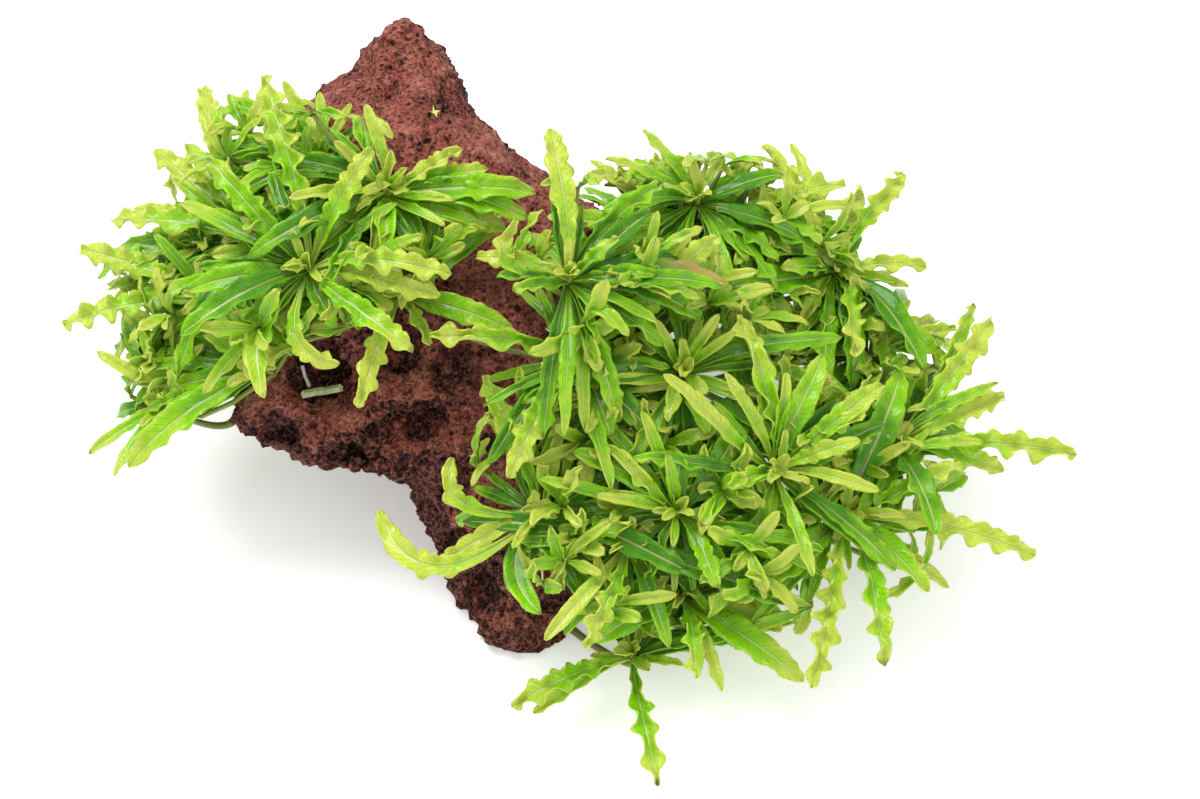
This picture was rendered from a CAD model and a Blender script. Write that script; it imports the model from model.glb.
"""Downoi on a lump of red lava stone, laid out as a Blender add-on.

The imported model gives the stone, and for each plant its foot and the tips of its leaves. This script gives
the stone its pores and grain, and replaces each plant with thin leaves that have a midrib, side veins and
wavy margins. A place in the photograph is a column and a row of its 1200 x 799 pixels.
"""

import math
import random
from collections import namedtuple
from itertools import islice

import bmesh
import bpy
from bpy.props import FloatProperty, FloatVectorProperty, IntProperty, PointerProperty
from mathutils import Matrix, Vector, noise
from mathutils.bvhtree import BVHTree


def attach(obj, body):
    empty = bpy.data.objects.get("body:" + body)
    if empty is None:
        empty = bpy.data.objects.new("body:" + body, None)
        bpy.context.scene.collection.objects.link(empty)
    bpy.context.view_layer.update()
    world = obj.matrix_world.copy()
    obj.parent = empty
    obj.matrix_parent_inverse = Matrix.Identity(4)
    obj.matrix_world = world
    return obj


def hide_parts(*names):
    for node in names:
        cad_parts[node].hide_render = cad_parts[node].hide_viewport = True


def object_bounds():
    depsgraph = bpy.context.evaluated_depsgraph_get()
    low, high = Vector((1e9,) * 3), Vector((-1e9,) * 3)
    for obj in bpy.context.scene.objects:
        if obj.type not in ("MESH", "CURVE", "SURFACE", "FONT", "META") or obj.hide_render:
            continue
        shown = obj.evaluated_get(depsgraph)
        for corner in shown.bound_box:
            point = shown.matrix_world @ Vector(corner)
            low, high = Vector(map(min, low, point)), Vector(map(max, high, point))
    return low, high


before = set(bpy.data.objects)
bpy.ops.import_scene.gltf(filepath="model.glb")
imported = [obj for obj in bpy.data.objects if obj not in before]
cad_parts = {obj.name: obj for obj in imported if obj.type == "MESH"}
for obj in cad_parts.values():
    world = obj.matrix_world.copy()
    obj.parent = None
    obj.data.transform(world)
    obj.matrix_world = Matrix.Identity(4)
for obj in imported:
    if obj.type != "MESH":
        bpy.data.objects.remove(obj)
cad_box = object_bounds()

bl_info = {
    "name": "Downoi on Lava Stone",
    "version": (1, 0, 0),
    "blender": (4, 5, 0),
    "location": "3D View > Sidebar > Downoi",
    "description": "Aquarium plants with wavy leaves on a lump of lava stone",
    "category": "Object",
}

MM = 0.001

# The view that the columns and rows belong to
VIEW_ELEVATION = math.radians(48)
VIEW_DISTANCE = 780 * MM
VIEW_MIDDLE = (600, 399.5)
ORIGIN_PIXEL = (490, 498)
PIXELS_PER_RADIAN = 3000
PHOTO_WIDTH = 1200
SENSOR_WIDTH = 36

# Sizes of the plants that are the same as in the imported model
STEM_FOOT_RADIUS = 1.5 * MM
STEM_TOP_RADIUS = 1.15 * MM
WHORL_SPACING = 1.6 * MM
WHORLS = 4
CUP_DEPTH = 5 * MM
FULL_LENGTH = 42 * MM
GROUND_CLEARANCE = 1.6 * MM
STONE_CLEARANCE = 2.2 * MM

# A kind of leaf: its full width in millimetres, how far it arches as a share of its length, how far its
# margins wave as a share of its half width and how often, the most that it twists in degrees, its age from
# 0, yellow-green, to 1, deep green, where along it is widest, and how blunt its tip is
Kind = namedtuple("Kind", "width arch wave lobe twist age widest bluntness")
YOUNG = Kind(4.6, 0.07, 0.35, 4.2, 20, 0.52, 0.6, 2.3)
RUFFLED = Kind(6.4, 0.11, 0.9, 3.5, 34, 0.56, 0.6, 2.4)
BROAD = Kind(8.2, 0.13, 0.42, 5.0, 20, 0.85, 0.52, 1.8)
NARROW = Kind(4.4, 0.09, 0.62, 3.3, 30, 0.56, 0.55, 2.0)
ROOT = Kind(1.1, 0.0, 0.0, 1, 0, 0, 1, 1)

# A leaf is the column and row of its tip and its kind. Its lift is the height in millimetres by which the
# tip rises above the rosette's own cup, and a via is a pixel that the leaf's middle passes.
Leaf = namedtuple("Leaf", "column row kind lift via", defaults=(0, None))

# A plant is the column, row and height of its crown, the lean of its stem in X and Y for each unit that it
# rises, the number of leaves added on its hidden sides, and the leaves that show
Plant = namedtuple("Plant", "crown lean hidden leaves")

PLANTS = {
    "plant_left_centre": Plant((307, 266, 82), (-0.15, -0.45), 2, [
        Leaf(208, 160, RUFFLED),
        Leaf(264, 398, BROAD, -3, (262, 322)),
        Leaf(413, 352, RUFFLED),
        Leaf(452, 272, RUFFLED),
        Leaf(373, 150, RUFFLED),
        Leaf(265, 70, RUFFLED),
        Leaf(180, 335, BROAD),
        Leaf(187, 289, BROAD, -4),
        Leaf(439, 297, RUFFLED, -5),
        Leaf(339, 365, RUFFLED, -8, (296, 335)),
        Leaf(335, 328, BROAD, -7),
    ]),
    "plant_left_top": Plant((321, 152, 84), (-0.1, -0.35), 0, [
        Leaf(284, 82, YOUNG),
        Leaf(320, 92, YOUNG),
        Leaf(351, 104, YOUNG),
        Leaf(275, 138, NARROW),
        Leaf(290, 178, YOUNG),
    ]),
    "plant_left_upper": Plant((387, 190, 88), (0.1, -0.4), 2, [
        Leaf(366, 103, YOUNG),
        Leaf(454, 200, YOUNG),
        Leaf(445, 226, YOUNG),
        Leaf(461, 150, RUFFLED),
        Leaf(535, 193, BROAD, -4),
        Leaf(318, 252, BROAD),
        Leaf(529, 217, BROAD, -5),
        Leaf(385, 257, BROAD),
        Leaf(487, 170, RUFFLED, -3),
        Leaf(289, 197, YOUNG, 3),
        Leaf(507, 230, BROAD, -8),
        Leaf(425, 247, BROAD, -3),
        Leaf(334, 142, YOUNG, 2),
        Leaf(406, 168, YOUNG, 4),
    ]),
    "plant_left_back": Plant((250, 238, 68), (-0.35, -0.2), 2, [
        Leaf(111, 220, RUFFLED),
        Leaf(157, 153, RUFFLED),
        Leaf(205, 89, RUFFLED),
        Leaf(245, 86, YOUNG),
        Leaf(131, 206, YOUNG, 2),
        Leaf(188, 145, RUFFLED, 2),
        Leaf(222, 108, RUFFLED, 3),
        Leaf(172, 178, NARROW, 4),
    ]),
    "plant_left_side": Plant((208, 298, 58), (-0.4, -0.3), 2, [
        Leaf(62, 325, RUFFLED),
        Leaf(83, 250, RUFFLED),
        Leaf(107, 257, RUFFLED, -4),
        Leaf(155, 233, NARROW, 4),
        Leaf(162, 338, NARROW, -3),
    ]),
    "plant_left_low": Plant((262, 366, 56), (-0.4, -0.45), 2, [
        Leaf(127, 467, BROAD),
        Leaf(173, 388, BROAD, 2),
        Leaf(203, 331, RUFFLED),
        Leaf(225, 389, RUFFLED, -4),
    ]),
    "plant_left_tip": Plant((166, 402, 42), (-0.3, -0.35), 1, [
        Leaf(98, 352, YOUNG),
        Leaf(89, 454, YOUNG),
        Leaf(113, 475, YOUNG),
        Leaf(141, 330, YOUNG),
        Leaf(178, 333, YOUNG),
        Leaf(203, 343, NARROW),
        Leaf(190, 418, YOUNG, 2),
        Leaf(128, 420, YOUNG, 3),
        Leaf(137, 372, NARROW, 2),
    ]),
    "plant_left_middle": Plant((400, 292, 72), (0.1, -0.35), 2, [
        Leaf(513, 332, BROAD, -3),
        Leaf(358, 408, RUFFLED, -2),
        Leaf(430, 345, RUFFLED, -5),
    ]),
    "plant_left_rear": Plant((232, 215, 46), (-0.45, 0.35), 6, []),
    "plant_right_crest": Plant((569, 276, 88), (0.05, -0.35), 2, [
        Leaf(551, 126, RUFFLED),
        Leaf(517, 220, RUFFLED, 0, (508, 262)),
        Leaf(476, 256, RUFFLED, -4),
        Leaf(618, 239, RUFFLED),
        Leaf(513, 289, RUFFLED),
        Leaf(642, 283, RUFFLED, -3),
    ]),
    "plant_right_centre": Plant((574, 352, 68), (0.0, -0.45), 2, [
        Leaf(430, 336, RUFFLED),
        Leaf(508, 478, RUFFLED),
        Leaf(718, 238, RUFFLED),
        Leaf(612, 436, BROAD, -2),
        Leaf(548, 418, RUFFLED, -5),
        Leaf(548, 328, RUFFLED, 6),
    ]),
    "plant_right_bud": Plant((629, 345, 66), (0.15, -0.45), 0, [
        Leaf(577, 345, YOUNG, 3),
        Leaf(633, 368, YOUNG, 3),
        Leaf(593, 388, YOUNG, 2),
        Leaf(630, 314, YOUNG, 2),
    ]),
    "plant_right_front": Plant((537, 512, 43), (-0.1, -0.5), 1, [
        Leaf(378, 508, RUFFLED, -4, (437, 566)),
        Leaf(541, 615, BROAD, -2, (517, 568)),
        Leaf(562, 425, YOUNG),
        Leaf(486, 376, RUFFLED),
        Leaf(452, 458, RUFFLED, 0, (463, 505)),
        Leaf(443, 562, RUFFLED, -2),
        Leaf(568, 513, YOUNG, 5),
        Leaf(513, 548, YOUNG, 2),
        Leaf(515, 440, YOUNG, -3),
        Leaf(563, 590, RUFFLED, -5),
        Leaf(600, 556, BROAD, -6),
        Leaf(543, 586, ROOT, 3, (541, 548)),
    ]),
    "plant_right_low": Plant((627, 540, 40), (0.1, -0.5), 1, [
        Leaf(545, 640, YOUNG),
        Leaf(585, 648, RUFFLED),
        Leaf(592, 519, RUFFLED, 4),
        Leaf(668, 512, RUFFLED, 4),
        Leaf(651, 580, RUFFLED, 3),
        Leaf(559, 528, RUFFLED, -3),
    ]),
    "plant_right_foot": Plant((683, 594, 24), (0.15, -0.4), 1, [
        Leaf(802, 682, BROAD),
        Leaf(697, 677, RUFFLED, 3),
        Leaf(783, 630, RUFFLED, 2),
        Leaf(594, 642, BROAD),
        Leaf(722, 691, YOUNG, -3),
        Leaf(617, 587, RUFFLED, 3),
        Leaf(652, 632, YOUNG, 3),
        Leaf(640, 562, BROAD, -3),
    ]),
    "plant_right_corner": Plant((632, 653, 12), (-0.1, -0.3), 0, [
        Leaf(658, 786, RUFFLED),
        Leaf(510, 706, RUFFLED),
        Leaf(533, 713, YOUNG, -3),
        Leaf(683, 664, NARROW),
        Leaf(645, 617, YOUNG),
        Leaf(590, 655, YOUNG),
    ]),
    "plant_right_heart": Plant((679, 510, 47), (0.15, -0.45), 1, [
        Leaf(602, 445, RUFFLED),
        Leaf(748, 418, BROAD, -4),
        Leaf(597, 495, YOUNG),
        Leaf(642, 411, YOUNG, 3),
        Leaf(585, 452, YOUNG, -3),
        Leaf(718, 588, RUFFLED),
        Leaf(680, 452, BROAD, 2),
        Leaf(667, 453, YOUNG, 7),
        Leaf(673, 546, YOUNG),
        Leaf(620, 405, NARROW, 4),
        Leaf(725, 522, RUFFLED, -2),
    ]),
    "plant_right_star": Plant((684, 372, 64), (0.15, -0.45), 1, [
        Leaf(656, 320, YOUNG, 3),
        Leaf(719, 314, YOUNG, 2),
        Leaf(606, 380, YOUNG),
        Leaf(701, 316, YOUNG, 5),
        Leaf(735, 332, YOUNG),
        Leaf(638, 333, YOUNG, -3),
        Leaf(720, 390, RUFFLED, 3),
        Leaf(668, 420, RUFFLED),
        Leaf(708, 434, BROAD, -4),
    ]),
    "plant_right_rise": Plant((778, 468, 50), (0.25, -0.45), 1, [
        Leaf(738, 314, RUFFLED),
        Leaf(822, 356, BROAD),
        Leaf(663, 375, YOUNG, -3),
        Leaf(725, 373, YOUNG, 3),
        Leaf(884, 383, RUFFLED),
        Leaf(812, 576, YOUNG),
        Leaf(880, 490, YOUNG, 3),
        Leaf(763, 345, YOUNG, 4),
        Leaf(787, 372, YOUNG, 2),
        Leaf(727, 487, RUFFLED, 5),
        Leaf(860, 440, RUFFLED, 3),
    ]),
    "plant_right_fan": Plant((843, 512, 32), (0.3, -0.35), 0, [
        Leaf(724, 429, RUFFLED, 6),
        Leaf(1036, 556, RUFFLED),
        Leaf(810, 688, RUFFLED),
        Leaf(883, 666, RUFFLED),
        Leaf(960, 466, RUFFLED),
        Leaf(927, 592, BROAD),
        Leaf(902, 370, BROAD),
        Leaf(737, 602, BROAD, -2),
        Leaf(741, 508, BROAD, 3),
        Leaf(706, 537, RUFFLED),
        Leaf(946, 588, YOUNG, -3),
        Leaf(807, 603, NARROW),
        Leaf(906, 516, YOUNG, 4),
    ]),
    "plant_right_reach": Plant((897, 441, 36), (0.4, -0.25), 1, [
        Leaf(1073, 457, RUFFLED),
        Leaf(991, 321, RUFFLED),
        Leaf(1006, 395, RUFFLED),
        Leaf(1003, 471, RUFFLED, -2),
        Leaf(975, 302, NARROW, 4),
        Leaf(935, 535, BROAD),
        Leaf(983, 442, NARROW, 3),
        Leaf(996, 384, NARROW, 3),
    ]),
    "plant_right_edge": Plant((872, 350, 38), (0.4, -0.1), 1, [
        Leaf(955, 331, RUFFLED),
        Leaf(909, 300, YOUNG),
        Leaf(936, 318, RUFFLED, 3),
        Leaf(932, 348, YOUNG, -3),
        Leaf(853, 420, RUFFLED),
    ]),
    "plant_right_arm": Plant((838, 266, 52), (0.35, -0.25), 0, [
        Leaf(904, 172, RUFFLED),
        Leaf(762, 147, RUFFLED),
        Leaf(928, 266, RUFFLED),
        Leaf(859, 184, RUFFLED),
        Leaf(925, 372, BROAD),
        Leaf(722, 243, BROAD),
        Leaf(692, 300, BROAD, -3),
        Leaf(908, 287, NARROW),
        Leaf(790, 146, NARROW, 3),
        Leaf(820, 214, YOUNG, 3),
        Leaf(782, 268, RUFFLED, 3),
        Leaf(853, 358, RUFFLED),
        Leaf(782, 236, YOUNG, 2),
        Leaf(800, 322, RUFFLED, -2),
    ]),
    "plant_right_summit": Plant((698, 196, 74), (0.05, -0.2), 1, [
        Leaf(643, 131, NARROW),
        Leaf(606, 158, NARROW),
        Leaf(724, 155, NARROW),
        Leaf(690, 152, YOUNG, 3),
        Leaf(662, 187, YOUNG),
        Leaf(613, 174, RUFFLED, -3),
        Leaf(650, 160, RUFFLED, -4),
    ]),
    "plant_right_shoulder": Plant((723, 218, 64), (0.2, -0.15), 1, [
        Leaf(847, 183, RUFFLED),
        Leaf(752, 157, RUFFLED),
        Leaf(770, 244, RUFFLED),
        Leaf(785, 234, YOUNG, -3),
        Leaf(703, 196, NARROW, 3),
        Leaf(835, 204, NARROW, -3),
    ]),
    "plant_right_terrace": Plant((690, 248, 60), (0.05, -0.3), 1, [
        Leaf(548, 218, RUFFLED),
        Leaf(591, 160, YOUNG),
        Leaf(600, 240, RUFFLED, -3),
        Leaf(680, 204, YOUNG, 3),
        Leaf(760, 300, BROAD, -4),
    ]),
    "plant_right_rear_high": Plant((648, 222, 42), (0.1, 0.35), 6, []),
    "plant_right_rear_low": Plant((735, 262, 24), (0.25, 0.45), 6, []),
    "plant_right_rear_end": Plant((800, 300, 26), (0.45, 0.35), 5, []),
}

# Dark hollows of the stone: the column, row and radius of each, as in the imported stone
HOLLOWS = [
    (484, 596, 8), (352, 456, 7), (285, 438, 8), (307, 374, 7), (335, 378, 8), (450, 372, 8), (422, 422, 6),
    (382, 432, 6), (400, 350, 9), (452, 545, 5)]

# Side shoots that close the gaps between rosettes: the column, row and height of each one's middle
GAP_SHOOTS = {
    "plant_right_star": [(736, 372, 44), (722, 345, 48)], "plant_right_edge": [(806, 356, 36), (770, 372, 32)],
    "plant_right_rise": [(748, 404, 46)], "plant_right_crest": [(640, 300, 62)]}

# Leaves that have died from the tip: the kind, and the column, row and height of the tip
WITHERED = {
    "plant_right_crest": [(BROAD, (722, 284, 78))], "plant_right_arm": [(NARROW, (782, 292, 50))]}

# The outlines of the two cushions in the view, without the single leaves that stand out
LEFT_OUTLINE = [
    (205, 100), (245, 90), (275, 85), (300, 95), (345, 110), (375, 115), (395, 140), (400, 165), (440, 165),
    (500, 190), (520, 200), (500, 235), (450, 260), (440, 290), (420, 320), (370, 320), (340, 350), (300, 345),
    (280, 370), (245, 385), (200, 420), (150, 450), (115, 450), (110, 400), (130, 380), (110, 350), (130, 320),
    (95, 300), (95, 265), (130, 235), (115, 215), (160, 200), (165, 160), (200, 150)]
RIGHT_OUTLINE = [
    (480, 260), (510, 225), (535, 200), (545, 130), (570, 180), (590, 165), (620, 160), (650, 150), (700, 155),
    (760, 150), (790, 160), (830, 190), (860, 190), (895, 180), (890, 220), (860, 260), (900, 270), (915, 275),
    (900, 300), (950, 330), (975, 320), (980, 340), (950, 390), (990, 400), (960, 430), (1000, 460), (960, 480),
    (940, 500), (1000, 540), (970, 550), (930, 550), (920, 590), (880, 600), (890, 650), (870, 640), (840, 560),
    (820, 600), (815, 670), (795, 680), (740, 650), (690, 660), (640, 640), (600, 650), (560, 640), (545, 620),
    (570, 590), (540, 600), (520, 600), (510, 560), (500, 530), (470, 540), (440, 545), (450, 520), (440, 490),
    (470, 460), (480, 420), (470, 390), (490, 370), (440, 345), (450, 330), (540, 345), (555, 330), (530, 310),
    (510, 290), (490, 280)]

Blade = namedtuple("Blade", "controls facing half_width kind")
GOLDEN_ANGLE = 2.39996
STEM_SLIMNESS = 0.7


# Colours and nodes

def linear(colour):
    """An sRGB hex colour as linear red, green and blue."""
    channels = [int(colour[i:i + 2], 16) / 255 for i in (1, 3, 5)]
    return [c / 12.92 if c <= 0.04045 else ((c + 0.055) / 1.055) ** 2.4 for c in channels]


def add(tree, kind, inputs=None, **settings):
    """Adds a node with its settings, its inputs being values or the outputs of other nodes."""
    made = tree.nodes.new(kind)
    for name, value in settings.items():
        setattr(made, name, value)
    for key, value in (inputs or {}).items():
        if isinstance(value, bpy.types.NodeSocket):
            tree.links.new(value, made.inputs[key])
        else:
            made.inputs[key].default_value = value
    return made


def new_material(name):
    """A material with an empty node tree."""
    material = bpy.data.materials.new(name)
    material.use_nodes = True
    material.node_tree.nodes.clear()
    return material, material.node_tree


# Settings

def size(name, description, default, low, high):
    """A length of the settings, in metres."""
    return FloatProperty(
        name=name, description=description, default=default, min=low, max=high, subtype="DISTANCE", unit="LENGTH")


def colour(name, description, default):
    """A colour of the settings, from its sRGB hex value."""
    return FloatVectorProperty(
        name=name, description=description, default=linear(default), min=0, max=1, size=3, subtype="COLOR")


class StoneSettings(bpy.types.PropertyGroup):
    """Sizes and colours of the lava stone."""

    mesh_step: size("Mesh step", "Spacing of the stone's mesh", 0.8 * MM, 0.5 * MM, 3 * MM)
    pore_spacing: size("Pore spacing", "Distance between open pores", 3.6 * MM, 1 * MM, 12 * MM)
    grain_height: size("Grain height", "Height of the rough grain", 1.5 * MM, 0, 3 * MM)
    hollow_depth: size("Hollow depth", "Depth of the dark hollows", 2.5 * MM, 0, 6 * MM)
    light: colour("Light", "Dry ridges of the stone", "#cb8676")
    middle: colour("Middle", "Most of the stone", "#985041")
    dark: colour("Dark", "Shaded grain of the stone", "#260c07")
    pore: colour("Pore", "Inside of the pores", "#0b0403")


class LeafSettings(bpy.types.PropertyGroup):
    """Sizes and colours of the leaves, stems and roots."""

    thickness: size("Thickness", "Thickness of a leaf", 0.35 * MM, 0.1 * MM, 1 * MM)
    filler_leaves: IntProperty(
        name="Filler leaves", description="Lower leaves of each rosette", default=24, min=0, max=40)
    side_shoots: IntProperty(
        name="Side shoots", description="Small shoots that branch from each stem", default=5, min=0, max=8)
    heart_leaves: IntProperty(
        name="Heart leaves", description="Small leaves in the middle of each rosette", default=5, min=0, max=12)
    young: colour("Young", "Youngest leaves and tips", "#c0d04c")
    bright: colour("Bright", "Leaves of middle age", "#88c604")
    deep: colour("Deep", "Oldest leaves", "#478802")
    midrib: colour("Midrib", "Midrib of a young leaf", "#cddb8e")
    old_midrib: colour("Old midrib", "Midrib at the base of an old leaf", "#7c7434")
    stem: colour("Stem", "Young stem", "#87963e")
    old_stem: colour("Old stem", "Old stem near the stone", "#6f7a35")
    cut_stem: colour("Cut stem", "The cut piece of stem", "#dbe0bb")
    root: colour("Root", "Fresh roots", "#ece6d6")
    withered: colour("Withered leaf", "Leaves that have died", "#b3a04e")
    withered_vein: colour("Withered vein", "Veins of dead leaves", "#8a4632")


class StageSettings(bpy.types.PropertyGroup):
    """Colour of the floor and strength of the lights."""

    floor: colour("Floor", "The pale floor", "#fbfbfb")
    key_power: FloatProperty(name="Key light", description="Power of the key light", default=17, min=0, unit="POWER")
    fill_power: FloatProperty(name="Fill light", description="Power of the fill light", default=7, min=0, unit="POWER")
    surround: FloatProperty(name="Surround", description="Brightness of the white surround", default=0.6, min=0)
    glow: FloatProperty(name="Floor glow", description="Light that the lit floor gives", default=0.36, min=0)


# The view

def view_axes():
    """The directions in which the view looks, and its right and up."""
    forward = Vector((0, math.cos(VIEW_ELEVATION), -math.sin(VIEW_ELEVATION)))
    right = Vector((1, 0, 0))
    return forward, right, right.cross(forward)


def sight(column, row):
    """The direction of the line of sight through a pixel, one unit deep."""
    forward, right, up = view_axes()
    across = (column - VIEW_MIDDLE[0]) / PIXELS_PER_RADIAN
    down = (row - VIEW_MIDDLE[1]) / PIXELS_PER_RADIAN
    return forward + right * across - up * down


def eye():
    """The point that the view looks from."""
    return sight(*ORIGIN_PIXEL) * -VIEW_DISTANCE


def pixel(point):
    """The column and row at which the view shows a point."""
    forward, right, up = view_axes()
    away = point - eye()
    depth = away.dot(forward)
    column = VIEW_MIDDLE[0] + PIXELS_PER_RADIAN * away.dot(right) / depth
    return Vector((column, VIEW_MIDDLE[1] - PIXELS_PER_RADIAN * away.dot(up) / depth))


def place(column, row, height):
    """The point on a pixel's line of sight at a height above the ground, in millimetres."""
    start, direction = eye(), sight(column, row)
    return start + direction * ((height * MM - start.z) / direction.z)


def on_plane(column, row, point, normal):
    """The point where a pixel's line of sight meets a plane."""
    start, direction = eye(), sight(column, row)
    return start + direction * ((point - start).dot(normal) / direction.dot(normal))


# Small helpers

def smooth(value):
    """Nought below 0, one above 1, and a smooth step between them."""
    value = max(0.0, min(1.0, value))
    return value * value * (3 - 2 * value)


def curve_point(controls, t):
    """A point of a cubic Bezier curve."""
    a, b, c, d = controls
    s = 1 - t
    return a * s ** 3 + b * (3 * s * s * t) + c * (3 * s * t * t) + d * t ** 3


def curve_direction(controls, t):
    """The direction in which a cubic Bezier curve runs."""
    a, b, c, d = controls
    s = 1 - t
    return ((b - a) * (s * s) + (c - b) * (2 * s * t) + (d - c) * (t * t)).normalized()


def node_mesh(name):
    """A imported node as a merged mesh. The node itself is left alone."""
    bm = bmesh.new()
    bm.from_mesh(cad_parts[name].data)
    bmesh.ops.remove_doubles(bm, verts=bm.verts[:], dist=0.001 * MM)
    return bm


def finish_piece(name, mesh, materials, slot, *nodes):
    """A finished piece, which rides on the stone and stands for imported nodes."""
    for polygon in mesh.polygons:
        polygon.use_smooth = True
    for material in materials:
        mesh.materials.append(material)
    piece = bpy.data.objects.new(name, mesh)
    bpy.context.scene.collection.objects.link(piece)
    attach(piece, "root")
    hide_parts(*nodes)
    return piece


# The lava stone

def pore_depth(point, spacing, share, reach):
    """How deep a round pore is at a point: 1 in its middle and 0 outside. Only a share of the cells has one."""
    distances, centres = noise.voronoi(point / spacing)
    chance = noise.cell(centres[0] * 7.3)
    if chance > share:
        return 0.0
    radius = reach * (0.45 + 0.55 * noise.cell(centres[0] * 3.1 + Vector((5, 5, 5))))
    return smooth(1 - distances[0] / max(radius, 0.05))


def stone_relief(point, normal, settings):
    """How far the stone's surface stands out at a point, and how deep in a pore it lies."""
    rough = 1 - 0.62 * smooth((normal.z - 0.35) / 0.45)
    coarse = noise.noise(point / (5 * MM))
    fine = noise.noise(point / (2.1 * MM) + Vector((9, 4, 2)))
    ridged = 1 - abs(noise.noise(point / (3.4 * MM) + Vector((3, 8, 6)))) * 2.4
    grain = coarse + fine * 0.9 + ridged * 0.6 - 0.5
    height = settings.grain_height * grain * rough
    # the pores are torn open and lie closer in some patches than in others
    patch = 0.55 + 0.5 * noise.noise(point / (13 * MM) + Vector((1, 6, 4)))
    torn = point + Vector((coarse, fine, ridged)) * (1.6 * MM)
    pore = pore_depth(torn, settings.pore_spacing, patch + 0.2, 0.5)
    small = pore_depth(point + Vector((fine, coarse, ridged)) * (0.6 * MM), settings.pore_spacing * 0.55, patch, 0.5)
    height -= (pore * (0.7 + 1.1 * rough) + small * (0.35 + 0.5 * rough)) * MM
    low = smooth(0.15 - grain * 0.75) * (0.25 + 0.6 * rough)
    return height, min(1.0, pore * 0.8 + small * 0.55 + low * 0.75)


def hollow_share(point, middle, radius):
    """How far a point lies inside a hollow with a torn rim, from 0 outside it to 1."""
    away = (point - middle).length / radius
    if away > 2:
        return 0.0
    torn = noise.noise(point / (4 * MM)) * 0.9 + noise.noise(point / (1.8 * MM)) * 0.6
    return smooth((0.95 - away + torn * 0.7) / 0.6)


def hollow_places(stone):
    """Where the stone's hollows are: the middle and the radius of each."""
    places = []
    for column, row, radius in HOLLOWS:
        middle = stone.ray_cast(eye(), sight(column, row).normalized())[0]
        places.append((middle, radius * MM))
    return places


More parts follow.
